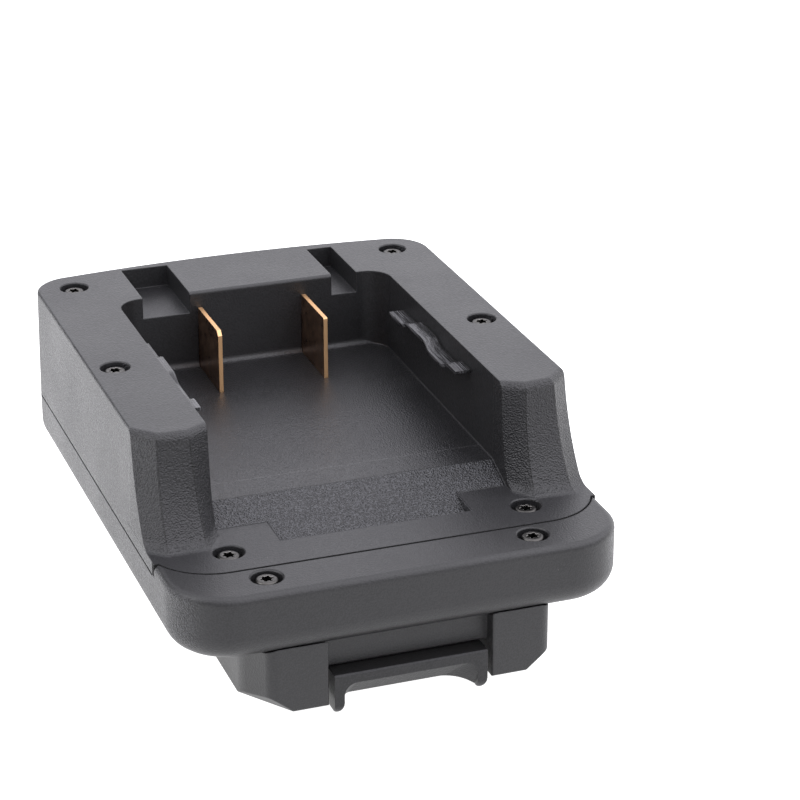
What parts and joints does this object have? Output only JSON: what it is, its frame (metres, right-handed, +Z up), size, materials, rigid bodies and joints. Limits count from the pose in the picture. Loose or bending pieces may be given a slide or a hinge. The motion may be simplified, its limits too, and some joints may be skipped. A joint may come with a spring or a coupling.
{
  "type": "tool battery adapter",
  "caption": "Black moulded adapter with an open slide-in battery receptacle on top, blade terminals, and a slide-on tool plug with a sprung release lever below.",
  "frame": {"origin": "middle of the box that the adapter stands in, seen from above, at the height of its lowest point, the toes of the release lever", "axes": "+Z up, out of the battery receptacle; +Y towards the end with the blade terminals; +X to the right when looking along +Y"},
  "size_m": [0.0808, 0.1112, 0.0446],
  "materials": {
    "housing_plastic": "fine textured, satin",
    "lever_plastic": "fine textured, satin",
    "strip_plastic": "smooth moulded",
    "inner_plastic": "plain moulded",
    "blade_brass": "stamped, lightly tarnished",
    "clip_brass": "stamped",
    "lead_black": "silicone insulation",
    "lead_red": "silicone insulation",
    "pin_steel": "ground",
    "spring_steel": "drawn wire",
    "screw_steel": "black oxide",
    "small_screw_steel": "zinc plated"
  },
  "bodies": {
    "adapter": {"receptacle_housing": "housing_plastic", "base_housing": "housing_plastic", "plug_body": "housing_plastic", "rail_strip_left": "strip_plastic", "rail_strip_right": "strip_plastic", "blade_carrier": "inner_plastic", "contact_block": "inner_plastic", "terminal_blade_left": "blade_brass", "terminal_blade_right": "blade_brass", "contact_clip_left": "clip_brass", "contact_clip_right": "clip_brass", "lead_left": "lead_black", "lead_right": "lead_red", "lever_pin": "pin_steel", "lever_spring_left": "spring_steel", "lever_spring_right": "spring_steel", "long_case_screws": "screw_steel", "flange_screws": "screw_steel", "skirt_screws": "screw_steel", "plug_screws": "screw_steel", "blade_carrier_screws": "small_screw_steel", "contact_block_screws": "small_screw_steel"},
    "lever": {"release_lever": "lever_plastic"}
  },
  "joints": [
    {"name": "release_lever_hinge", "type": "hinge", "parent": "adapter", "child": "lever", "pos_m": [0, -0.03383, 0.0074], "axis": [1, 0, 0], "range_deg": [0, 9], "stiffness_Nm_per_rad": 0.8, "springref_deg": -5.73, "deforming": ["lever_spring_left", "lever_spring_right"]}
  ]
}
